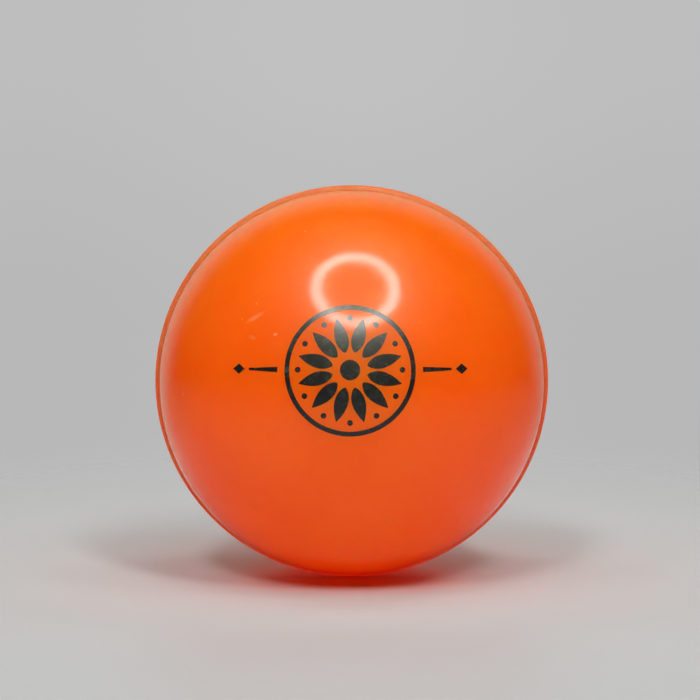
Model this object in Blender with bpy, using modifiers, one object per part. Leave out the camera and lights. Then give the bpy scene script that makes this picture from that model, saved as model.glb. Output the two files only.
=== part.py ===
"""Hollow cricket windball.

Two half shells of soft orange plastic meet in a lap joint at the equator. A
raised seam ring is keyed in the dovetail groove between them, and a soft plug
closes the air hole at the rear pole.

Metres, +Z up. The origin is the centre of the ball. The ball's axis is Y: the
front half faces -Y, the rear half faces +Y, and the seam lies in the XZ plane.
"""

import math

import bpy

# ---------------------------------------------------------------- dimensions
SEAM_DIAMETER = 0.0720        # over the raised seam, the ball's largest size
RIDGE_HEIGHT = 0.0008         # seam crown above the skin
WALL = 0.0050                 # thickness of the half shells

RIDGE_HALF_WIDTH = 0.0011     # seam ridge where it leaves the skin
RIDGE_CROWN_HALF = 0.0005     # half width of the flat on the seam's crown
FOOT_FLARE = 0.0008           # how much wider the dovetail groove is at its floor
GROOVE_DEPTH = 0.0018         # groove floor below the skin

LAP_LENGTH = 0.0030           # spigot of the front half inside the rear half
SPIGOT_WALL = 0.0014          # thickness of that spigot

HEAD_RADIUS = 0.0037          # air plug: head let into the skin
HEAD_THICKNESS = 0.0012
SHANK_RADIUS = 0.0022
BARB_RADIUS = 0.0029
BARB_LENGTH = 0.0020
DIMPLE_RADIUS = 0.00045       # needle dimple in the plug's head
DIMPLE_DEPTH = 0.0009

GAP = 0.0003                  # clearance between neighbouring pieces
TURN_STEPS = 48               # facets round each turned piece
ARC_STEP = math.radians(7.5)  # facets along a sphere's profile

# ------------------------------------------------------------ derived values
SEAM_R = SEAM_DIAMETER / 2.0
SKIN_R = SEAM_R - RIDGE_HEIGHT
INNER_R = SKIN_R - WALL
GROOVE_R = SKIN_R - GROOVE_DEPTH
LIP_HALF = RIDGE_HALF_WIDTH + GAP                 # groove at the skin
FLOOR_HALF = LIP_HALF + FOOT_FLARE                # groove at its floor
SPIGOT_R = INNER_R + SPIGOT_WALL
SOCKET_R = SPIGOT_R + GAP
JOINT_HALF = GAP / 2.0                            # half the gap at the equator


def height_on(radius, r):
    """Height above the equator of a sphere's surface at distance r from its axis."""
    return math.sqrt(radius * radius - r * r)


def sphere_arc(radius, start, end):
    """Profile points (r, z) on a sphere between two angles from its pole."""
    count = max(2, int(math.ceil(abs(end - start) / ARC_STEP)))
    points = []
    for i in range(count + 1):
        angle = start + (end - start) * i / count
        points.append((radius * math.sin(angle), radius * math.cos(angle)))
    return points


def remove_old_objects():
    for obj in list(bpy.data.objects):
        bpy.data.objects.remove(obj, do_unlink=True)
    for mesh in list(bpy.data.meshes):
        bpy.data.meshes.remove(mesh)


def plastic(name, colour, roughness):
    material = bpy.data.materials.new(name)
    material.use_nodes = True
    shader = material.node_tree.nodes["Principled BSDF"]
    shader.inputs["Base Color"].default_value = (*colour, 1.0)
    shader.inputs["Roughness"].default_value = roughness
    shader.inputs["Metallic"].default_value = 0.0
    material.diffuse_color = (*colour, 1.0)
    return material


def turned(name, profile, closed, material, collection, parent, front):
    """Turn a profile of (r, z) points round the ball's axis.

    z is the height above the equator towards the piece's own pole: -Y on the
    front half, +Y on the rear half.
    """
    count = len(profile)
    edges = [(i, i + 1) for i in range(count - 1)]
    if closed:
        edges.append((count - 1, 0))
    mesh = bpy.data.meshes.new(name)
    mesh.from_pydata([(r, 0.0, z) for r, z in profile], edges, [])
    mesh.materials.append(material)
    obj = bpy.data.objects.new(name, mesh)
    collection.objects.link(obj)
    obj.parent = parent
    obj.rotation_euler = (math.radians(90.0 if front else -90.0), 0.0, 0.0)

    screw = obj.modifiers.new("Turn", "SCREW")
    screw.axis = "Z"
    screw.angle = 2.0 * math.pi
    screw.steps = TURN_STEPS
    screw.render_steps = TURN_STEPS
    screw.screw_offset = 0.0
    screw.use_merge_vertices = True
    screw.merge_threshold = 0.00001
    screw.use_smooth_shade = True
    return obj


def front_half_profile():
    lip_angle = math.acos(LIP_HALF / SKIN_R)
    points = sphere_arc(SKIN_R, 0.0, lip_angle)            # skin, pole to groove
    points.append((GROOVE_R, FLOOR_HALF))                  # dovetail wall
    points.append((GROOVE_R, JOINT_HALF))                  # groove floor
    points.append((SPIGOT_R, JOINT_HALF))                  # joint face
    points.append((SPIGOT_R, -LAP_LENGTH))                 # spigot, outside
    points.append((INNER_R, -LAP_LENGTH))                  # spigot, end
    points += sphere_arc(INNER_R, math.pi / 2.0, 0.0)      # inside, up to the pole
    return points


def rear_half_profile():
    bore_r = SHANK_RADIUS + GAP
    head_r = HEAD_RADIUS + GAP
    seat_z = SKIN_R - HEAD_THICKNESS - GAP                 # floor under the head
    lip_angle = math.acos(LIP_HALF / SKIN_R)
    socket_z = LAP_LENGTH + GAP
    points = sphere_arc(SKIN_R, math.asin(head_r / SKIN_R), lip_angle)
    points.append((GROOVE_R, FLOOR_HALF))                  # dovetail wall
    points.append((GROOVE_R, JOINT_HALF))                  # groove floor
    points.append((SOCKET_R, JOINT_HALF))                  # joint face
    points.append((SOCKET_R, socket_z))                    # socket for the spigot
    points += sphere_arc(INNER_R, math.acos(socket_z / INNER_R),
                         math.asin(bore_r / INNER_R))      # inside, up to the bore
    points.append((bore_r, seat_z))                        # bore
    points.append((head_r, seat_z))                        # seat of the plug's head
    return points


def seam_profile():
    """Closed section of the seam ring: dovetail foot below, rounded ridge above."""
    foot_r = GROOVE_R + GAP
    skin_at_lip = height_on(SKIN_R, LIP_HALF)
    taper = FOOT_FLARE / (skin_at_lip - GROOVE_R)
    foot_half = RIDGE_HALF_WIDTH + taper * (skin_at_lip - foot_r)
    round_r = RIDGE_HALF_WIDTH - RIDGE_CROWN_HALF
    upper = [(foot_r, foot_half), (skin_at_lip, RIDGE_HALF_WIDTH)]
    for i in range(4):
        angle = math.radians(90.0) * i / 3.0
        upper.append((SEAM_R - round_r + round_r * math.sin(angle),
                      RIDGE_CROWN_HALF + round_r * math.cos(angle)))
    lower = [(r, -z) for r, z in reversed(upper)]
    return upper + lower


def plug_profile():
    seat_z = SKIN_R - HEAD_THICKNESS
    edge_r = HEAD_RADIUS - 0.0003
    inside_z = height_on(INNER_R, BARB_RADIUS) - GAP
    return [
        (0.0, SKIN_R - DIMPLE_DEPTH),                      # needle dimple
        (DIMPLE_RADIUS, SKIN_R - DIMPLE_DEPTH),
        (DIMPLE_RADIUS, height_on(SKIN_R, DIMPLE_RADIUS)),
        (edge_r * 0.5, height_on(SKIN_R, edge_r * 0.5)),   # head, flush with the skin
        (edge_r, height_on(SKIN_R, edge_r)),
        (HEAD_RADIUS, height_on(SKIN_R, HEAD_RADIUS) - 0.0003),
        (HEAD_RADIUS, seat_z),
        (SHANK_RADIUS, seat_z),                            # shank through the wall
        (SHANK_RADIUS, inside_z),
        (BARB_RADIUS, inside_z - 0.0001),                  # barb behind the wall
        (BARB_RADIUS * 0.5, inside_z - BARB_LENGTH),
        (0.0, inside_z - BARB_LENGTH),
    ]


def main():
    remove_old_objects()
    scene = bpy.context.scene
    scene.unit_settings.system = "METRIC"
    scene.unit_settings.length_unit = "MILLIMETERS"

    collection = bpy.data.collections.new("cricket_windball")
    scene.collection.children.link(collection)
    centre = bpy.data.objects.new("ball_centre", None)
    centre.empty_display_size = 0.01
    collection.objects.link(centre)

    front_skin = plastic("orange_front_plastic", (0.90, 0.095, 0.006), 0.16)
    rear_skin = plastic("orange_rear_plastic", (0.90, 0.095, 0.006), 0.16)
    seam_skin = plastic("orange_seam_plastic", (0.78, 0.080, 0.007), 0.24)
    plug_rubber = plastic("plug_rubber", (0.62, 0.060, 0.008), 0.50)

    turned("front_half_shell", front_half_profile(), False, front_skin,
           collection, centre, front=True)
    turned("rear_half_shell", rear_half_profile(), True, rear_skin,
           collection, centre, front=False)
    turned("seam_ring", seam_profile(), True, seam_skin,
           collection, centre, front=True)
    turned("air_plug", plug_profile(), False, plug_rubber,
           collection, centre, front=False)


main()
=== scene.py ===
"""Looks of the cricket windball: moulded skins, seam bead, air plug, print, studio."""

import math

import bmesh
import bpy
import numpy as np
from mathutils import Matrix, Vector


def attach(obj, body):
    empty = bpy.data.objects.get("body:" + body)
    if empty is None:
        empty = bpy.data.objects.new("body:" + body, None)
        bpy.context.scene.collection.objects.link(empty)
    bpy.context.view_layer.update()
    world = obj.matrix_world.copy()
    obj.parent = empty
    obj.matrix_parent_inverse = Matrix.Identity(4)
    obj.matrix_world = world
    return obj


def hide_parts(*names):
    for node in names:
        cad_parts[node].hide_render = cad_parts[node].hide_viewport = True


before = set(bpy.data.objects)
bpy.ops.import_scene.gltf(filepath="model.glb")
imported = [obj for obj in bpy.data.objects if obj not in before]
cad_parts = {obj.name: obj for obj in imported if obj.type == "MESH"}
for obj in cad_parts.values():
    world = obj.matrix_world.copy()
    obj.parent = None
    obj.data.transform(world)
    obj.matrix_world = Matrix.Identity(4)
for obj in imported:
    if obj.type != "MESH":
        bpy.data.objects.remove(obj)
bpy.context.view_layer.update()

scene = bpy.context.scene

# ------------------------------------------------------------------ sizes (m)
MM = 0.001
SEAM_R = 36.0 * MM            # over the seam
SKIN_R = 35.2 * MM            # moulded skin
INNER_R = 30.2 * MM           # inside of the wall
RIDGE_HALF = 1.1 * MM         # half width of the seam bead at the skin
HAIRLINE = 0.01 * MM          # joint line either side of the bead
LIP = 0.03 * MM               # rounding of the skin at that line
GROOVE_R = 33.4 * MM          # floor of the dovetail groove
FLOOR_HALF = 2.2 * MM         # half width of the groove at its floor
SPIGOT_R = 31.6 * MM
SOCKET_R = 31.9 * MM
LAP = 3.0 * MM
JOINT_HALF = 0.15 * MM

STITCHES = 80                 # shallow moulded stitch marks each side of the bead
STITCH_DEPTH = 0.10 * MM
STITCH_HALF = 0.42 * MM       # half width
STITCH_FROM = 2.10 * MM       # mark's axis, measured along the skin from the seam's plane
STITCH_TO = 3.70 * MM
STITCH_SLANT = 0.30           # sideways shift per length

FINE = STITCHES * 12          # facets round the rim
COARSE = FINE // 4            # facets round the cap


# --------------------------------------------------------------- small helpers
def smooth(a, b, x):
    t = np.clip((x - a) / (b - a), 0.0, 1.0)
    return t * t * (3.0 - 2.0 * t)


def wave_field(seed, length, count):
    """A smooth, seeded field on points of space, about -1 to 1, with this wavelength."""
    rng = np.random.default_rng(seed)
    k = rng.normal(size=(count, 3))
    k /= np.linalg.norm(k, axis=1)[:, None]
    k *= (2.0 * math.pi / length) * rng.uniform(0.7, 1.3, size=(count, 1))
    phase = rng.uniform(0.0, 2.0 * math.pi, size=count)

    def field(p):
        return np.sin(p @ k.T + phase).sum(axis=1) / math.sqrt(count) * 0.8

    return field


SWELL = wave_field(11, 26.0 * MM, 9)
PEEL = wave_field(23, 5.2 * MM, 14)


def ring_points(r, y, steps, shift=0.0):
    a = (np.arange(steps) + shift) * (2.0 * math.pi / steps)
    return np.stack([r * np.cos(a), np.full(steps, y), r * np.sin(a)], axis=1)


class Lathe:
    """Stacks rings of points round the Y axis and skins them into one closed mesh."""

    def __init__(self):
        self.points = []
        self.faces = []
        self.last = None
        self.first = None

    def _add(self, pts):
        start = len(self.points)
        self.points.extend(map(tuple, pts))
        return list(range(start, start + len(pts)))

    def ring(self, pts):
        ids = self._add(pts)
        if self.first is None:
            self.first = ids
        if self.last is not None:
            self.join(self.last, ids)
        self.last = ids

    def join(self, a, b):
        if len(a) == 1 or len(b) == 1:
            tip, rim = (a, b) if len(a) == 1 else (b, a)
            n = len(rim)
            for i in range(n):
                self.faces.append((tip[0], rim[i], rim[(i + 1) % n]))
            return
        if len(a) == len(b):
            n = len(a)
            for i in range(n):
                j = (i + 1) % n
                self.faces.append((a[i], b[i], b[j], a[j]))
            return
        few, many = (a, b) if len(a) < len(b) else (b, a)
        step = len(many) // len(few)
        n = len(few)
        for i in range(n):
            j = (i + 1) % n
            run = [many[(i * step + s) % len(many)] for s in range(step + 1)]
            half = step // 2
            for s in range(half):
                self.faces.append((few[i], run[s], run[s + 1]))
            self.faces.append((few[i], run[half], few[j]))
            for s in range(half, step):
                self.faces.append((few[j], run[s], run[s + 1]))

    def close(self):
        self.join(self.last, self.first)

    def build(self, name, material):
        mesh = bpy.data.meshes.new(name)
        mesh.from_pydata(self.points, [], self.faces)
        bm = bmesh.new()
        bm.from_mesh(mesh)
        bmesh.ops.recalc_face_normals(bm, faces=bm.faces)
        bm.to_mesh(mesh)
        bm.free()
        mesh.shade_smooth()
        mesh.set_sharp_from_angle(angle=math.radians(50.0))
        mesh.materials.append(material)
        obj = bpy.data.objects.new(name, mesh)
        scene.collection.objects.link(obj)
        return obj


# ------------------------------------------------------------------ materials
class Nodes:
    """Small wrapper that lays out shader nodes and their links."""

    def __init__(self, tree):
        self.tree = tree
        self.count = 0

    def new(self, kind, **values):
        node = self.tree.nodes.new(kind)
        node.location = (-260 * (self.count // 6), -220 * (self.count % 6))
        self.count += 1
        for key, value in values.items():
            setattr(node, key, value)
        return node

    def put(self, socket, value):
        if isinstance(value, bpy.types.NodeSocket):
            self.tree.links.new(value, socket)
        else:
            socket.default_value = value

    def math(self, operation, a, b=None, c=None, clamp=False):
        node = self.new("ShaderNodeMath", operation=operation, use_clamp=clamp)
        for socket, value in zip(node.inputs, (a, b, c)):
            if value is not None:
                self.put(socket, value)
        return node.outputs[0]

    def vector(self, operation, a, b=None):
        node = self.new("ShaderNodeVectorMath", operation=operation)
        self.put(node.inputs[0], a)
        if b is not None:
            self.put(node.inputs[1], b)
        return node.outputs["Value" if operation in ("DOT_PRODUCT", "LENGTH", "DISTANCE") else "Vector"]

    def ramp(self, value, low, high, out_low=0.0, out_high=1.0, kind="SMOOTHSTEP"):
        node = self.new("ShaderNodeMapRange", interpolation_type=kind, clamp=True)
        self.put(node.inputs["Value"], value)
        node.inputs["From Min"].default_value = low
        node.inputs["From Max"].default_value = high
        node.inputs["To Min"].default_value = out_low
        node.inputs["To Max"].default_value = out_high
        return node.outputs["Result"]

    def noise(self, place, scale, detail=2.0, rough=0.5, warp=0.0):
        node = self.new("ShaderNodeTexNoise")
        self.put(node.inputs["Vector"], place)
        node.inputs["Scale"].default_value = scale
        node.inputs["Detail"].default_value = detail
        node.inputs["Roughness"].default_value = rough
        node.inputs["Distortion"].default_value = warp
        return node.outputs["Fac"]

    def mix(self, fac, a, b, blend="MIX"):
        node = self.new("ShaderNodeMix", data_type="RGBA", blend_type=blend)
        self.put(node.inputs[0], fac)
        self.put(node.inputs[6], a)
        self.put(node.inputs[7], b)
        return node.outputs[2]

    def bump(self, height, strength, distance, normal=None):
        node = self.new("ShaderNodeBump")
        self.put(node.inputs["Height"], height)
        node.inputs["Strength"].default_value = strength
        node.inputs["Distance"].default_value = distance
        if normal is not None:
            self.put(node.inputs["Normal"], normal)
        return node.outputs["Normal"]


def new_material(name):
    material = bpy.data.materials.new(name)
    material.use_nodes = True
    tree = material.node_tree
    shader = tree.nodes["Principled BSDF"]
    return material, Nodes(tree), shader


def skin_place(right, up, radius=SKIN_R, front=True):
    """Point of the skin at this arc right of and above the pole, as seen from outside."""
    rho = math.hypot(right, up)
    if rho < 1e-9:
        return Vector((0.0, -radius if front else radius, 0.0))
    a = rho / radius
    x, z = right / rho * math.sin(a) * radius, up / rho * math.sin(a) * radius
    y = math.cos(a) * radius
    return Vector((x, -y, z)) if front else Vector((-x, y, z))


def scuff_mask(n, place, spots):
    """Soft elongated marks: each is (arc right, arc up, angle, half length, half width, strength)."""
    total = None
    for right, up, angle, half_long, half_wide, strength in spots:
        c = skin_place(right, up)
        normal = c.normalized()
        along = skin_place(right + math.cos(angle) * 1e-4, up + math.sin(angle) * 1e-4) - c
        along = (along - normal * along.dot(normal)).normalized()
        across = normal.cross(along)
        rel = n.vector("SUBTRACT", place, tuple(c))
        u = n.math("DIVIDE", n.vector("DOT_PRODUCT", rel, tuple(along)), half_long)
        v = n.math("DIVIDE", n.vector("DOT_PRODUCT", rel, tuple(across)), half_wide)
        d = n.math("ADD", n.math("POWER", n.math("ABSOLUTE", u), 2.0), n.math("POWER", n.math("ABSOLUTE", v), 2.0))
        m = n.math("MULTIPLY", n.ramp(d, 1.0, 0.0), strength)
        total = m if total is None else n.math("MAXIMUM", total, m)
    return total


ORANGE = (0.93, 0.1125, 0.0044, 1.0)
ORANGE_DEEP = (0.90, 0.0985, 0.0036, 1.0)
ORANGE_PALE = (0.96, 0.150, 0.014, 1.0)


def see_through(n, shader, weight):
    """Soft plastic lets red light wander through the wall, so shaded parts glow red."""
    shader.inputs["IOR"].default_value = 1.38
    n.put(shader.inputs["Subsurface Weight"], weight)
    shader.inputs["Subsurface Radius"].default_value = (1.0, 0.14, 0.03)
    shader.inputs["Subsurface Scale"].default_value = 0.008


def shell_material(name, marks):
    """Glossy soft plastic, coloured all through, with faint flow marks, specks and scuffs."""
    material, n, shader = new_material(name)
    place = n.new("ShaderNodeTexCoord").outputs["Object"]
    cloud = n.noise(place, 55.0, 3.0, 0.55, 0.4)
    fine = n.noise(place, 420.0, 2.0, 0.6)
    grain = n.noise(place, 3200.0, 1.0, 0.5)

    colour = n.mix(n.ramp(cloud, 0.32, 0.68), ORANGE_DEEP, ORANGE)
    colour = n.mix(n.ramp(fine, 0.45, 0.75, 0.0, 0.10), colour, ORANGE_PALE)
    speck = n.new("ShaderNodeTexVoronoi", feature="F1", distance="EUCLIDEAN")
    n.put(speck.inputs["Vector"], place)
    speck.inputs["Scale"].default_value = 310.0
    speck.inputs["Randomness"].default_value = 1.0
    dot = n.ramp(speck.outputs["Distance"], 0.075, 0.03)
    rare = n.ramp(n.noise(place, 130.0, 1.0, 0.5), 0.60, 0.66)
    dust = n.math("MULTIPLY", dot, rare)
    colour = n.mix(n.math("MULTIPLY", dust, 0.30), colour, (0.97, 0.42, 0.22, 1.0))

    smudge = n.noise(place, 95.0, 4.0, 0.65, 1.2)
    rough = n.ramp(smudge, 0.30, 0.75, 0.125, 0.165)
    rough = n.math("ADD", rough, n.math("MULTIPLY", dust, 0.2))
    if marks:
        scuff = scuff_mask(n, place, marks)
        worn = n.math("MULTIPLY", scuff, n.ramp(n.noise(place, 2400.0, 2.0, 0.6), 0.30, 0.62, 0.35, 1.0))
        colour = n.mix(worn, colour, (0.98, 0.40, 0.20, 1.0))
        rough = n.math("ADD", rough, n.math("MULTIPLY", worn, 0.35))
    n.put(shader.inputs["Base Color"], colour)
    n.put(shader.inputs["Roughness"], rough)
    split = n.new("ShaderNodeSeparateXYZ")
    n.put(split.inputs[0], place)
    to_seam = n.math("ABSOLUTE", split.outputs[1])
    see_through(n, shader, n.ramp(to_seam, RIDGE_HALF, 5.5 * MM, 0.35, 0.75))

    normal = n.bump(grain, 0.10, 0.000012)
    normal = n.bump(fine, 0.12, 0.00003, normal)
    n.put(shader.inputs["Normal"], normal)
    return material


def seam_material():
    """Same plastic on the bead, a shade deeper, dulled and paled by handling on its crown."""
    material, n, shader = new_material("seam_plastic")
    place = n.new("ShaderNodeTexCoord").outputs["Object"]
    split = n.new("ShaderNodeSeparateXYZ")
    n.put(split.inputs[0], place)
    flat = n.new("ShaderNodeCombineXYZ")
    n.put(flat.inputs[0], split.outputs[0])
    n.put(flat.inputs[2], split.outputs[2])
    radius = n.vector("LENGTH", flat.outputs[0])
    crown = n.ramp(radius, SEAM_R - 0.28 * MM, SEAM_R - 0.02 * MM)
    patch = n.ramp(n.noise(place, 260.0, 4.0, 0.65, 0.6), 0.42, 0.66)
    wear = n.math("MULTIPLY", crown, patch)
    cloud = n.noise(place, 80.0, 3.0, 0.55)
    colour = n.mix(n.ramp(cloud, 0.32, 0.68), (0.58, 0.112, 0.032, 1.0), (0.62, 0.124, 0.037, 1.0))
    colour = n.mix(n.math("MULTIPLY", wear, 0.14), colour, (0.80, 0.20, 0.07, 1.0))
    n.put(shader.inputs["Base Color"], colour)
    n.put(shader.inputs["Roughness"], n.math("ADD", n.ramp(cloud, 0.3, 0.7, 0.54, 0.62), n.math("MULTIPLY", wear, 0.08)))
    see_through(n, shader, 0.70)
    scratch = n.noise(place, 1900.0, 3.0, 0.6)
    n.put(shader.inputs["Normal"], n.bump(scratch, 0.10, 0.00002))
    return material


def plug_material():
    """Dull soft rubber of the air plug."""
    material, n, shader = new_material("plug_rubber_soft")
    place = n.new("ShaderNodeTexCoord").outputs["Object"]
    cloud = n.noise(place, 400.0, 4.0, 0.6)
    grain = n.noise(place, 5200.0, 2.0, 0.6)
    colour = n.mix(n.ramp(cloud, 0.3, 0.7), (0.60, 0.046, 0.004, 1.0), (0.72, 0.066, 0.006, 1.0))
    n.put(shader.inputs["Base Color"], colour)
    n.put(shader.inputs["Roughness"], n.ramp(cloud, 0.3, 0.7, 0.42, 0.56))
    shader.inputs["IOR"].default_value = 1.48
    n.put(shader.inputs["Normal"], n.bump(grain, 0.35, 0.00003))
    return material


def ink_material():
    """Black screen-print ink: glossy, with the pinholes and uneven cover of a thin film."""
    material, n, shader = new_material("print_ink_black")
    place = n.new("ShaderNodeTexCoord").outputs["Object"]
    cover = n.noise(place, 700.0, 4.0, 0.65)
    pin = n.noise(place, 5200.0, 2.0, 0.6)
    colour = n.mix(n.ramp(cover, 0.35, 0.75), (0.0085, 0.0080, 0.0085, 1.0), (0.016, 0.014, 0.014, 1.0))
    colour = n.mix(n.ramp(pin, 0.70, 0.78, 0.0, 0.35), colour, (0.16, 0.020, 0.006, 1.0))
    n.put(shader.inputs["Base Color"], colour)
    n.put(shader.inputs["Roughness"], n.ramp(cover, 0.3, 0.7, 0.20, 0.30))
    shader.inputs["IOR"].default_value = 1.5
    n.put(shader.inputs["Normal"], n.bump(pin, 0.25, 0.00002))
    return material


# ---------------------------------------------------------------- half shells
def stitch_depth(theta, arc, side):
    """Moulded stitch marks: short slanted dents in a row along the seam."""
    pitch = 2.0 * math.pi * SKIN_R / STITCHES
    mid = 0.5 * (STITCH_FROM + STITCH_TO)
    along = theta * SKIN_R + side * STITCH_SLANT * (arc - mid)
    d = (along / pitch + 0.5) % 1.0 - 0.5
    d = d * pitch
    past = np.maximum(np.abs(arc - mid) - 0.5 * (STITCH_TO - STITCH_FROM), 0.0)
    dist = np.sqrt(d * d + past * past)
    return STITCH_DEPTH * (1.0 - smooth(0.25 * STITCH_HALF, STITCH_HALF, dist))


def skin_ring(arc_from_pole, steps, sign):
    """One ring of the outer skin, with its slight swell and its stitch marks."""
    phi = arc_from_pole / SKIN_R
    unit = ring_points(math.sin(phi), sign * math.cos(phi), steps)
    pts = unit * SKIN_R
    to_seam = 0.5 * math.pi * SKIN_R - arc_from_pole
    calm = smooth(1.0 * MM, 7.0 * MM, to_seam)
    lift = (SWELL(pts) * 0.014 * MM + PEEL(pts) * 0.0012 * MM) * calm
    theta = np.arange(steps) * (2.0 * math.pi / steps)
    lift = lift - stitch_depth(theta, to_seam, sign)
    return pts + unit * lift[:, None]


def half_shell(name, sign, material):
    """sign -1: front half with spigot and closed pole. sign +1: rear half with socket and plug seat."""
    lathe = Lathe()
    quarter = 0.5 * math.pi * SKIN_R
    rim_arc = 6.0 * MM
    if sign < 0:
        lathe.ring(np.array([[0.0, -SKIN_R - SWELL(np.array([[0.0, -SKIN_R, 0.0]]))[0] * 0.014 * MM, 0.0]]))
        start = 0.35 * MM
    else:
        seat_z = SKIN_R - 1.5 * MM
        bore_r, head_r = 2.5 * MM, 3.86 * MM
        lathe.ring(ring_points(bore_r, math.sqrt(INNER_R ** 2 - bore_r ** 2), COARSE))
        lathe.ring(ring_points(bore_r, seat_z, COARSE))
        lathe.ring(ring_points(head_r, seat_z, COARSE))
        edge_y = math.sqrt(SKIN_R ** 2 - head_r ** 2)
        lathe.ring(ring_points(head_r, edge_y - 0.22 * MM, COARSE))
        for i in range(1, 5):
            a = math.radians(90.0) * i / 5.0
            r = head_r + 0.22 * MM * (1.0 - math.cos(a))
            lathe.ring(ring_points(r, edge_y - 0.22 * MM * (1.0 - math.sin(a)) - 0.012 * MM, COARSE))
        start = SKIN_R * math.asin((head_r + 0.24 * MM) / SKIN_R)
    stop = quarter - rim_arc
    count = 64
    for i in range(count + 1):
        t = i / count
        lathe.ring(skin_ring(start + (stop - start) * t, COARSE, sign))
    fine_end = quarter - (RIDGE_HALF + HAIRLINE + 1.15 * LIP)
    count = 33
    for i in range(1, count + 1):
        lathe.ring(skin_ring(stop + (fine_end - stop) * i / count, FINE, sign))
    lip = RIDGE_HALF + HAIRLINE
    lip_r = math.sqrt(SKIN_R ** 2 - (lip + LIP) ** 2)
    for i in range(1, 5):
        a = math.radians(90.0) * i / 4.0
        lathe.ring(ring_points(lip_r - LIP * (1.0 - math.cos(a)),
                               sign * (lip + LIP * (1.0 - math.sin(a))), FINE))
    lathe.ring(ring_points(lip_r - 0.45 * MM, sign * (lip + 0.12 * MM), FINE))
    lathe.ring(ring_points(GROOVE_R, sign * FLOOR_HALF, FINE))
    lathe.ring(ring_points(GROOVE_R, sign * JOINT_HALF, FINE))
    if sign < 0:
        lathe.ring(ring_points(SPIGOT_R, sign * JOINT_HALF, FINE))
        lathe.ring(ring_points(SPIGOT_R, -sign * LAP, FINE))
        lathe.ring(ring_points(INNER_R, -sign * LAP, FINE))
        lathe.ring(ring_points(INNER_R, 0.0, FINE))
        for i in range(1, 16):
            a = math.radians(90.0) * (1.0 - i / 16.0)
            lathe.ring(ring_points(INNER_R * math.sin(a), sign * INNER_R * math.cos(a), COARSE))
        lathe.ring(np.array([[0.0, sign * INNER_R, 0.0]]))
    else:
        socket = LAP + 0.3 * MM
        lathe.ring(ring_points(SOCKET_R, sign * JOINT_HALF, FINE))
        lathe.ring(ring_points(SOCKET_R, sign * socket, FINE))
        first = math.acos(socket / INNER_R)
        last = math.asin(2.5 * MM / INNER_R)
        lathe.ring(ring_points(INNER_R * math.sin(first), sign * INNER_R * math.cos(first), FINE))
        for i in range(1, 16):
            a = first + (last - first) * i / 16.0
            lathe.ring(ring_points(INNER_R * math.sin(a), sign * INNER_R * math.cos(a), COARSE))
        lathe.close()
    return lathe.build(name, material)


# ------------------------------------------------------------------ seam bead
def seam_bead(material):
    lathe = Lathe()
    foot_r = GROOVE_R + 0.3 * MM
    skin = math.sqrt(SKIN_R ** 2 - RIDGE_HALF ** 2)
    upper = [(foot_r, 1.76 * MM), (foot_r + 0.5 * MM, 1.55 * MM), (skin - 0.35 * MM, RIDGE_HALF + 0.12 * MM),
             (skin - 0.05 * MM, RIDGE_HALF)]
    for i in range(18):
        t = 1.0 - 0.97 * i / 17.0
        upper.append((skin + (SEAM_R - skin) * (1.0 - t * t) ** 1.35, RIDGE_HALF * t))
    profile = upper + [(r, -y) for r, y in reversed(upper)]
    steps = FINE
    theta = np.arange(steps) * (2.0 * math.pi / steps)
    rng = np.random.default_rng(5)
    wob = np.zeros(steps)
    for k in (3, 5, 8, 13, 21, 34, 55):
        wob += rng.normal() * np.sin(k * theta + rng.uniform(0.0, 6.28)) / math.sqrt(k)
    wob = -np.abs(wob) / np.abs(wob).max() * 0.035 * MM
    for r, y in profile:
        pts = ring_points(r, y, steps)
        share = float(np.clip((r - skin) / (SEAM_R - skin), 0.0, 1.0))
        unit = ring_points(1.0, 0.0, steps)
        lathe.ring(pts + unit * (wob * share)[:, None])
    lathe.close()
    return lathe.build("seam_bead", material)


# ------------------------------------------------------------------- air plug
def air_plug(material):
    lathe = Lathe()
    steps = 120
    top = SKIN_R - 0.10 * MM
    head_r = 3.74 * MM
    dome = [(0.0, top - 0.78 * MM), (0.30 * MM, top - 0.74 * MM), (0.42 * MM, top - 0.45 * MM),
            (0.50 * MM, top - 0.14 * MM), (0.66 * MM, top - 0.03 * MM)]
    for i in range(1, 9):
        r = 0.66 * MM + (head_r - 0.30 * MM - 0.66 * MM) * i / 8.0
        groove = 0.07 * MM * math.exp(-((r - 2.2 * MM) / (0.22 * MM)) ** 2)
        dome.append((r, math.sqrt(top ** 2 - r ** 2) - groove))
    edge_y = dome[-1][1]
    for i in range(1, 6):
        a = math.radians(90.0) * i / 5.0
        dome.append((head_r - 0.30 * MM * (1.0 - math.sin(a)), edge_y - 0.30 * MM * (1.0 - math.cos(a))))
    inside = math.sqrt(INNER_R ** 2 - (2.9 * MM) ** 2) - 0.3 * MM
    rest = [(head_r, SKIN_R - 1.2 * MM), (2.2 * MM, SKIN_R - 1.2 * MM), (2.2 * MM, inside),
            (2.9 * MM, inside - 0.1 * MM), (2.7 * MM, inside - 0.5 * MM), (1.45 * MM, inside - 2.0 * MM), (0.0, inside - 2.0 * MM)]
    for r, y in dome + rest:
        if r == 0.0:
            lathe.ring(np.array([[0.0, y, 0.0]]))
        else:
            lathe.ring(ring_points(r, y, steps))
    return lathe.build("air_plug_body", material)


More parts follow.
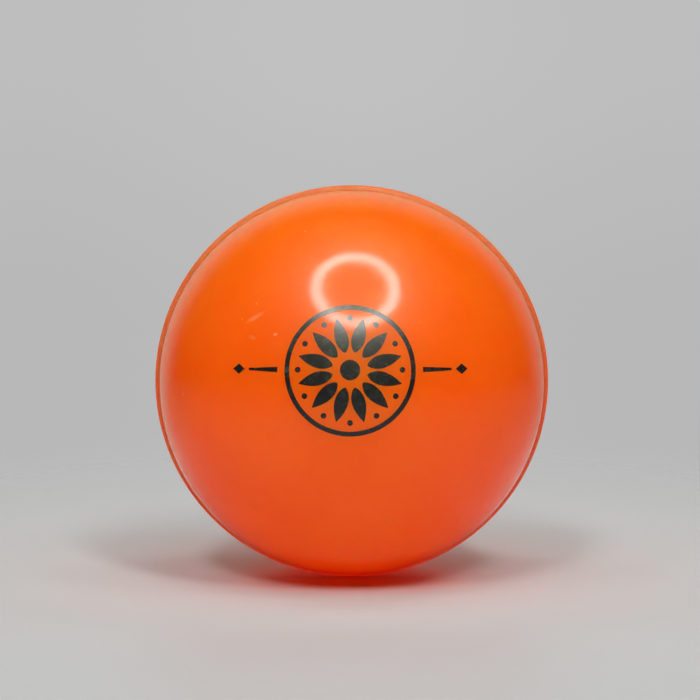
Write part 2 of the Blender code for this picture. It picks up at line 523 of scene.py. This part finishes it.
# ------------------------------------------------------------- printed motif
class Print:
    """Thin ink patches laid on the front skin. Places are arcs right of and above the pole."""

    TOP = 0.030 * MM
    BELOW = -0.060 * MM

    def __init__(self, right, up):
        self.right, self.up = right, up
        self.verts, self.faces = [], []

    def spot(self, u, v, lift):
        return tuple(skin_place(self.right + u, self.up + v, SKIN_R + lift))

    def patch(self, grid):
        """grid: rows of (u, v) points; each row has the same count. Makes one closed thin solid."""
        rows, cols = len(grid), len(grid[0])
        base = len(self.verts)
        for lift in (self.TOP, self.BELOW):
            for row in grid:
                for u, v in row:
                    self.verts.append(self.spot(u, v, lift))
        under = base + rows * cols

        def at(layer, i, j):
            return layer + i * cols + j

        for i in range(rows - 1):
            for j in range(cols - 1):
                self.faces.append((at(base, i, j), at(base, i, j + 1), at(base, i + 1, j + 1), at(base, i + 1, j)))
                self.faces.append((at(under, i, j), at(under, i + 1, j), at(under, i + 1, j + 1), at(under, i, j + 1)))
        edge = [(0, j) for j in range(cols)] + [(i, cols - 1) for i in range(1, rows)]
        edge += [(rows - 1, j) for j in range(cols - 2, -1, -1)] + [(i, 0) for i in range(rows - 2, 0, -1)]
        for k in range(len(edge)):
            a, b = edge[k], edge[(k + 1) % len(edge)]
            self.faces.append((at(base, *a), at(under, *a), at(under, *b), at(base, *b)))

    def leaf(self, u0, v0, angle, length, half_width, shape):
        """A leaf from a start point along an angle; shape(s) gives the half width, 0 to 1."""
        ca, sa = math.cos(angle), math.sin(angle)
        grid = []
        for i in range(29):
            s = i / 28.0
            w = max(half_width * shape(s), 0.02 * MM)
            row = []
            for j in range(9):
                t = -1.0 + j / 4.0
                du, dv = s * length, t * w
                row.append((u0 + du * ca - dv * sa, v0 + du * sa + dv * ca))
            grid.append(row)
        self.patch(grid)

    def disc(self, u0, v0, radius):
        grid = []
        for i in range(17):
            row = []
            for j in range(17):
                a, b = -1.0 + i / 8.0, -1.0 + j / 8.0
                x = a * math.sqrt(1.0 - 0.5 * b * b)
                y = b * math.sqrt(1.0 - 0.5 * a * a)
                row.append((u0 + radius * x, v0 + radius * y))
            grid.append(row)
        self.patch(grid)

    def arc(self, u0, v0, inner, outer, start, end, pieces):
        """Part of a ring; inner and outer are functions of the share along it."""
        grid = []
        for i in range(pieces + 1):
            s = i / pieces
            a = start + (end - start) * s
            row = []
            for j in range(5):
                r = inner(s) + (outer(s) - inner(s)) * j / 4.0
                row.append((u0 + r * math.cos(a), v0 + r * math.sin(a)))
            grid.append(row)
        self.patch(grid)

    def build(self, name, material):
        mesh = bpy.data.meshes.new(name)
        mesh.from_pydata(self.verts, [], self.faces)
        bm = bmesh.new()
        bm.from_mesh(mesh)
        bmesh.ops.remove_doubles(bm, verts=bm.verts, dist=1e-7)
        bmesh.ops.recalc_face_normals(bm, faces=bm.faces)
        bm.to_mesh(mesh)
        bm.free()
        mesh.shade_smooth()
        mesh.set_sharp_from_angle(angle=math.radians(40.0))
        mesh.materials.append(material)
        obj = bpy.data.objects.new(name, mesh)
        scene.collection.objects.link(obj)
        return obj


def front_print(material):
    """A plain rosette with a short rule and a lozenge each side."""
    ink = Print(-0.3 * MM, 5.4 * MM)

    def petal(s):
        return math.sin(math.pi * s ** 0.8) ** 0.85

    for k in range(12):
        a = 2.0 * math.pi * k / 12.0 + math.pi / 12.0
        ink.leaf(3.1 * MM * math.cos(a), 3.1 * MM * math.sin(a), a, 6.2 * MM, 1.18 * MM, petal)
        b = a + math.pi / 12.0
        ink.disc(9.15 * MM * math.cos(b), 9.15 * MM * math.sin(b), 0.50 * MM)
    ink.disc(0.0, 0.0, 1.75 * MM)
    ink.arc(0.0, 0.0, lambda s: 10.7 * MM, lambda s: 11.55 * MM, 0.0, math.radians(180.0), 72)
    ink.arc(0.0, 0.0, lambda s: 10.7 * MM, lambda s: 11.55 * MM, math.radians(180.0), math.radians(360.0), 72)
    for side in (0.0, math.pi):
        ca = math.cos(side)
        ink.leaf(12.9 * MM * ca, 0.0, side, 5.6 * MM, 0.46 * MM, lambda s: 1.0 - 0.55 * s)
        ink.leaf(19.3 * MM * ca, 0.0, side, 2.5 * MM, 0.95 * MM, lambda s: 1.0 - abs(2.0 * s - 1.0))
    return ink.build("front_print", material)


# -------------------------------------------------------------------- pieces
front_marks = [
    # arc right, arc up, angle, half length, half width, strength
    (-18.1 * MM, 15.0 * MM, math.radians(28.0), 2.4 * MM, 0.62 * MM, 0.34),
    (-18.4 * MM, 11.2 * MM, math.radians(-20.0), 1.05 * MM, 0.48 * MM, 0.25),
    (-13.8 * MM, 11.7 * MM, math.radians(10.0), 0.44 * MM, 0.38 * MM, 0.95),
]
front_skin = shell_material("front_shell_plastic", front_marks)
rear_skin = shell_material("rear_shell_plastic", None)

front = half_shell("front_shell", -1.0, front_skin)
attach(front, "root")
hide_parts("front_half_shell")

rear = half_shell("rear_shell", 1.0, rear_skin)
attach(rear, "root")
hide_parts("rear_half_shell")

bead = seam_bead(seam_material())
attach(bead, "root")
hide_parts("seam_ring")

plug = air_plug(plug_material())
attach(plug, "root")
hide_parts("air_plug")

motif = front_print(ink_material())
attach(motif, "root")


# -------------------------------------------------------------------- studio
scene.view_settings.view_transform = "Standard"
scene.view_settings.look = "None"

FLOOR_Z = -SEAM_R
FLOOR_GREY = 0.60


def emitter(name, strength, colour=(1.0, 1.0, 1.0, 1.0)):
    material = bpy.data.materials.new(name)
    material.use_nodes = True
    tree = material.node_tree
    tree.nodes.clear()
    glow = tree.nodes.new("ShaderNodeEmission")
    glow.inputs["Color"].default_value = colour
    glow.inputs["Strength"].default_value = strength
    out = tree.nodes.new("ShaderNodeOutputMaterial")
    tree.links.new(glow.outputs[0], out.inputs["Surface"])
    return material


def floor():
    mesh = bpy.data.meshes.new("studio_floor")
    bm = bmesh.new()
    bmesh.ops.create_circle(bm, cap_ends=True, cap_tris=True, segments=96, radius=2.0)
    bm.to_mesh(mesh)
    bm.free()
    obj = bpy.data.objects.new("studio_floor", mesh)
    obj.location = (0.0, 0.0, FLOOR_Z)
    scene.collection.objects.link(obj)
    material = bpy.data.materials.new("studio_floor_grey")
    material.use_nodes = True
    tree = material.node_tree
    tree.nodes.clear()
    n = Nodes(tree)
    place = n.new("ShaderNodeTexCoord").outputs["Object"]
    reach = n.vector("LENGTH", n.vector("MULTIPLY", place, (1.6, 1.0, 1.0)))
    split = n.new("ShaderNodeSeparateXYZ")
    n.put(split.inputs[0], place)
    # painted shade: for glossy rays only, the floor near the ball is mixed toward black, so the ball's reflection of
    # the floor shows painted shade
    painted_reflection_shade = n.math("MULTIPLY", n.new("ShaderNodeLightPath").outputs["Is Glossy Ray"], n.ramp(reach, 0.045, 0.13, 0.52, 0.08))
    painted_reflection_shade = n.math("MULTIPLY", painted_reflection_shade, n.ramp(reach, 0.008, 0.024))
    painted_reflection_shade = n.math("MULTIPLY", painted_reflection_shade, n.ramp(split.outputs[1], -0.035, -0.018, 0.35, 1.0))
    painted_reflection_shade = n.math("MULTIPLY", painted_reflection_shade, n.ramp(split.outputs[1], 0.05, 0.10, 1.0, 0.30))
    painted_reflection_shade = n.math("MULTIPLY", painted_reflection_shade, n.ramp(split.outputs[0], 0.020, 0.038, 1.0, 0.12))
    painted_reflection_shade = n.math("MULTIPLY", painted_reflection_shade, n.ramp(split.outputs[0], -0.038, -0.020, 0.65, 1.0))
    beside = n.math("ABSOLUTE", split.outputs[0])
    # painted light: the floor in front of the ball is tinted pink, standing in for orange light bounced from the ball
    painted_bounce_ahead = n.math("MULTIPLY", n.ramp(split.outputs[1], -0.042, -0.066), n.ramp(beside, 0.044, 0.016))
    grey = n.mix(painted_bounce_ahead, (FLOOR_GREY, FLOOR_GREY * 0.993, FLOOR_GREY * 0.98, 1.0), (FLOOR_GREY, FLOOR_GREY * 0.92, FLOOR_GREY * 0.905, 1.0))
    # painted light: a small patch of floor at the contact gets more red and less blue, standing in for red light
    # bounced from the ball's underside
    off = n.vector("MULTIPLY", n.vector("ADD", place, (0.0, 0.006, 0.0)), (0.62, 1.0, 1.0))
    under = n.ramp(n.vector("LENGTH", off), 0.0165, 0.010)
    grey = n.mix(under, grey, (FLOOR_GREY * 1.13, FLOOR_GREY * 0.993, FLOOR_GREY * 0.95, 1.0))
    # painted shade: a strip of floor just behind the contact loses much of its green and blue, a painted red shadow
    # under the ball
    behind = n.math("MULTIPLY", n.ramp(split.outputs[1], -0.006, 0.0), n.ramp(split.outputs[1], 0.014, 0.008))
    behind = n.math("MULTIPLY", behind, n.ramp(beside, 0.015, 0.009))
    grey = n.mix(behind, grey, (FLOOR_GREY * 1.05, FLOOR_GREY * 0.68, FLOOR_GREY * 0.60, 1.0))
    # painted shade: patches of floor beside and behind the ball, where its shadow is deepest, get less red, a painted
    # shadow tint
    core = n.math("MULTIPLY", n.ramp(split.outputs[1], 0.004, 0.012), n.ramp(split.outputs[1], 0.034, 0.024))
    core = n.math("MULTIPLY", core, n.math("MULTIPLY", n.ramp(beside, 0.011, 0.019), n.ramp(beside, 0.031, 0.025)))
    grey = n.mix(core, grey, (FLOOR_GREY * 0.88, FLOOR_GREY * 0.96, FLOOR_GREY * 0.93, 1.0))
    diffuse = n.new("ShaderNodeBsdfDiffuse")
    n.put(diffuse.inputs["Color"], n.mix(painted_reflection_shade, grey, (0.0, 0.0, 0.0, 1.0)))
    clear = n.new("ShaderNodeBsdfTransparent")
    blend = n.new("ShaderNodeMixShader")
    n.put(blend.inputs[0], n.ramp(reach, 0.06, 0.28))
    tree.links.new(diffuse.outputs[0], blend.inputs[1])
    tree.links.new(clear.outputs[0], blend.inputs[2])
    out = n.new("ShaderNodeOutputMaterial")
    tree.links.new(blend.outputs[0], out.inputs["Surface"])
    mesh.materials.append(material)
    return obj


LAMP_AWAY = 0.9
LAMP_UP, LAMP_SIDE = math.radians(61.3), math.radians(4.0)


def aim(azimuth, elevation):
    """Direction from the ball: azimuth 0 is the front and grows to the right."""
    return Vector((math.sin(azimuth) * math.cos(elevation), -math.cos(azimuth) * math.cos(elevation), math.sin(elevation)))


def lamp_mesh(name, inner, outer, material, away, towards):
    """A flat ring facing the ball, a little taller than it is wide."""
    mesh = bpy.data.meshes.new(name)
    bm = bmesh.new()
    steps = 96
    rim = []
    for angle in (inner, outer):
        r = away * math.tan(angle)
        rim.append([bm.verts.new((0.93 * r * math.cos(2.0 * math.pi * i / steps), 1.03 * r * math.sin(2.0 * math.pi * i / steps), 0.0))
                    for i in range(steps)])
    for i in range(steps):
        j = (i + 1) % steps
        bm.faces.new((rim[0][i], rim[0][j], rim[1][j], rim[1][i]))
    bm.to_mesh(mesh)
    bm.free()
    mesh.materials.append(material)
    obj = bpy.data.objects.new(name, mesh)
    obj.location = towards * away
    obj.rotation_euler = (-towards).to_track_quat("-Z", "Y").to_euler()
    obj.visible_camera = False
    obj.visible_shadow = False
    scene.collection.objects.link(obj)
    return obj


def ring_lamp(light, tube, dish, haze):
    """Round tube lamp above and in front: light falls from the tube, and gloss shows tube, dish and haze."""
    to_lamp = aim(LAMP_SIDE, LAMP_UP)
    cast = lamp_mesh("ring_lamp", math.radians(18.2), math.radians(25.3), emitter("ring_lamp_glow", light, (0.94, 1.08, 1.0, 1.0)), LAMP_AWAY, to_lamp)
    cast.visible_glossy = False
    cast.light_linking.receiver_collection = lit_pieces
    shown = emitter("ring_lamp_sheen", tube)
    tree = shown.node_tree
    n = Nodes(tree)
    place = n.new("ShaderNodeTexCoord").outputs["Object"]
    away = LAMP_AWAY + 0.02
    flat = n.vector("DIVIDE", place, (0.93 * away, 1.03 * away, 1.0))
    reach = n.vector("LENGTH", flat)
    inside = n.ramp(reach, math.tan(math.radians(17.2)), math.tan(math.radians(19.6)))
    outside = n.ramp(reach, math.tan(math.radians(25.2)), math.tan(math.radians(23.0)))
    band = n.math("MULTIPLY", inside, outside)
    split = n.new("ShaderNodeSeparateXYZ")
    n.put(split.inputs[0], flat)
    low = n.ramp(split.outputs[1], 0.30, -0.30, dish * 0.8, dish * 1.5)
    low = n.math("ADD", low, n.ramp(reach, math.tan(math.radians(9.0)), math.tan(math.radians(18.0)), 0.0, 1.3 * dish))
    core = n.math("MULTIPLY", low, n.ramp(reach, math.tan(math.radians(26.0)), math.tan(math.radians(22.0))))
    far = n.math("MINIMUM", n.math("MULTIPLY", n.math("POWER", reach, -3.0), haze), 1.15 * dish)
    glow = next(node for node in tree.nodes if node.type == "EMISSION")
    n.put(glow.inputs["Color"], n.mix(band, (1.0, 1.0, 0.70, 1.0), (1.0, 1.0, 0.95, 1.0)))
    n.put(glow.inputs["Strength"], n.math("MAXIMUM", n.math("MULTIPLY", band, n.ramp(split.outputs[1], 0.42, -0.42, 0.95 * tube, 1.12 * tube)), n.math("MAXIMUM", core, far)))
    sheen = lamp_mesh("ring_lamp_front", math.radians(0.01), math.radians(58.0), shown, away, to_lamp)
    sheen.visible_diffuse = False
    sheen.visible_transmission = False


lit_pieces = bpy.data.collections.new("lit_pieces")
lit_skin = bpy.data.collections.new("lit_skin")
lit_bead = bpy.data.collections.new("lit_bead")
for piece in (front, rear, bead, plug, motif):
    lit_pieces.objects.link(piece)
    (lit_bead if piece is bead else lit_skin).objects.link(piece)


def soft_box(name, towards, away, size, level, lit):
    """A soft light on these things alone; level is what a white card facing it would show."""
    light = bpy.data.lights.new(name, "AREA")
    light.shape = "DISK"
    light.size = size
    peak = max(level)
    light.color = [value / peak for value in level]
    light.energy = peak * math.pi ** 2 * away ** 2
    obj = bpy.data.objects.new(name, light)
    way = Vector(towards).normalized()
    obj.location = way * away
    obj.rotation_euler = (-way).to_track_quat("-Z", "Y").to_euler()
    obj.visible_glossy = False
    obj.visible_camera = False
    scene.collection.objects.link(obj)
    obj.light_linking.receiver_collection = lit
    obj.light_linking.blocker_collection = lit_pieces
    return obj


def ball_light(name, towards, level, lit):
    return soft_box(name, towards, 1.0, 0.6, level, lit)


def floor_light(name, way, spread, level):
    """A soft light on the floor alone; spread is half the angle it spans, in degrees."""
    half = math.radians(spread)
    share = 0.975 * level / (FLOOR_GREY * way.z * math.cos(half) ** 2)
    return soft_box(name, way, 1.6, 3.2 * math.tan(half), (0.965 * share, share, share), lit_floor)


def floor_lights():
    """The lamp's ring in front and above, and the pale wall behind, as the floor sees them."""
    for k, (azimuth, elevation, spread, level) in enumerate((
            (-14.0, 40.0, 4.0, 0.048), (22.0, 40.0, 4.0, 0.046),
            (-18.0, 47.0, 5.0, 0.062), (-48.0, 47.0, 6.0, 0.026), (22.0, 47.0, 5.0, 0.068), (56.0, 47.0, 6.0, 0.028),
            (-28.0, 58.0, 7.0, 0.032), (0.0, 58.0, 6.0, 0.010), (25.0, 58.0, 7.0, 0.032), (54.0, 58.0, 7.0, 0.018),
            (-72.0, 58.0, 7.0, 0.012), (12.0, 72.0, 9.0, 0.050), (0.0, 86.0, 8.0, 0.030),
            (-95.0, 74.0, 8.0, 0.022), (95.0, 74.0, 8.0, 0.022), (-118.0, 48.0, 7.0, 0.024), (118.0, 48.0, 7.0, 0.028),
            (180.0, 14.0, 10.0, 0.006), (150.0, 28.0, 8.0, 0.010), (180.0, 28.0, 8.0, 0.004), (210.0, 28.0, 8.0, 0.006))):
        floor_light("floor_light_%d" % k, aim(math.radians(azimuth), math.radians(elevation)), spread, level)


def studio_world():
    """Plain grey to the eye; the ball sees a pale back wall, a pale floor and a dark front."""
    world = bpy.data.worlds.new("studio")
    scene.world = world
    world.use_nodes = True
    tree = world.node_tree
    tree.nodes.clear()
    n = Nodes(tree)
    path = n.new("ShaderNodeLightPath")
    way = n.new("ShaderNodeTexCoord").outputs["Generated"]
    split = n.new("ShaderNodeSeparateXYZ")
    n.put(split.inputs[0], way)
    back = n.ramp(split.outputs[1], 0.56, 0.88, 0.0, 0.49)
    back = n.math("MULTIPLY", back, n.ramp(split.outputs[0], 0.0, 0.5, 1.0, 0.72))
    down = n.math("ADD", n.ramp(split.outputs[2], -0.035, -0.085, 0.0, 0.19), n.ramp(split.outputs[2], -0.06, -0.20, 0.0, 0.14))
    around = n.math("MAXIMUM", back, down)
    side = n.ramp(n.math("ABSOLUTE", split.outputs[0]), 0.0, 0.11, 1.0, 0.96)
    seen = n.new("ShaderNodeBackground")
    seen.inputs["Color"].default_value = (1.0, 1.0, 1.0, 1.0)
    n.put(seen.inputs["Strength"], n.math("MULTIPLY", n.ramp(split.outputs[2], -0.08, 0.02, 0.497, 0.533), side))
    felt = n.new("ShaderNodeBackground")
    felt.inputs["Color"].default_value = (1.0, 0.99, 0.86, 1.0)
    n.put(felt.inputs["Strength"], around)
    both = n.new("ShaderNodeMixShader")
    n.put(both.inputs[0], path.outputs["Is Camera Ray"])
    tree.links.new(felt.outputs[0], both.inputs[1])
    tree.links.new(seen.outputs[0], both.inputs[2])
    out = n.new("ShaderNodeOutputWorld")
    tree.links.new(both.outputs[0], out.inputs["Surface"])


lit_floor = bpy.data.collections.new("lit_floor")
lit_floor.objects.link(floor())
ring_lamp(9.8, 20.5, 1.75, 0.42)
floor_lights()
ball_light("top_light", (0.0, 0.50, 0.87), (0.25, 0.88, 0.82), lit_skin)
ball_light("bead_top_light", (0.0, -0.30, 0.95), (0.0, 0.10, 0.10), lit_bead)
ball_light("bead_left_low_light", (-0.58, -0.45, -0.68), (0.075, 0.004, 0.001), lit_bead)
ball_light("bead_right_low_light", (0.58, -0.45, -0.68), (0.085, 0.004, 0.001), lit_bead)
ball_light("bead_left_light", (-0.95, -0.30, 0.0), (0.02, 0.003, 0.001), lit_bead)
ball_light("bead_right_light", (0.95, -0.30, 0.0), (0.085, 0.003, 0.001), lit_bead)
ball_light("bead_front_light", (-0.04, -0.94, 0.34), (0.36, 0.53, 0.46), lit_bead)
ball_light("front_light", (-0.04, -0.94, 0.34), (0.44, 0.555, 0.48), lit_skin)
ball_light("under_light", (0.0, -0.10, -1.0), (0.020, 0.009, 0.004), lit_skin)
ball_light("rear_light", (0.0, 1.0, 0.30), (0.28, 0.30, 0.30), lit_pieces)
ball_light("left_light", (-1.0, -0.10, -0.16), (0.205, 0.03, 0.02), lit_pieces)
ball_light("right_light", (1.0, -0.10, -0.16), (0.225, 0.02, 0.02), lit_pieces)
ball_light("left_rear_light", (-0.55, 0.80, 0.20), (0.26, 0.50, 0.48), lit_pieces)
ball_light("right_rear_light", (0.55, 0.80, 0.20), (0.28, 0.36, 0.32), lit_pieces)
ball_light("left_foot_light", (-0.62, -0.03, -0.78), (0.132, 0.038, 0.008), lit_skin)
ball_light("right_foot_light", (0.62, -0.03, -0.78), (0.128, 0.038, 0.008), lit_skin)
ball_light("left_low_light", (-0.55, 0.65, -0.53), (0.12, 0.045, 0.025), lit_pieces)
ball_light("right_low_light", (0.55, 0.65, -0.53), (0.105, 0.045, 0.025), lit_pieces)
soft_box("contact_light", (0.0, 0.0, -1.0), 0.03599, 0.034, (0.013, 0.0002, 0.0001), lit_skin)
soft_box("bead_contact_light", (0.0, 0.0, -1.0), 0.03599, 0.034, (0.050, 0.0001, 0.0001), lit_bead)
studio_world()

# -------------------------------------------------------------------- camera
FOCAL_PX = 3001.0
DISTANCE = 0.55
ELEVATION = math.radians(5.5)
CENTRE_PX = (351.76, 381.8)

camera = bpy.data.objects.new("camera", bpy.data.cameras.new("camera"))
scene.collection.objects.link(camera)
scene.camera = camera
camera.data.sensor_fit = "HORIZONTAL"
camera.data.sensor_width = 36.0
camera.data.lens = FOCAL_PX * 36.0 / 700.0
camera.data.clip_start = 0.01
camera.data.clip_end = 50.0
camera.location = (0.0, -DISTANCE * math.cos(ELEVATION), DISTANCE * math.sin(ELEVATION))
pitch = math.atan((CENTRE_PX[1] - 350.0) / FOCAL_PX) - ELEVATION
yaw = math.atan((CENTRE_PX[0] - 350.0) / FOCAL_PX)
camera.rotation_euler = (math.radians(90.0) + pitch, 0.0, yaw)
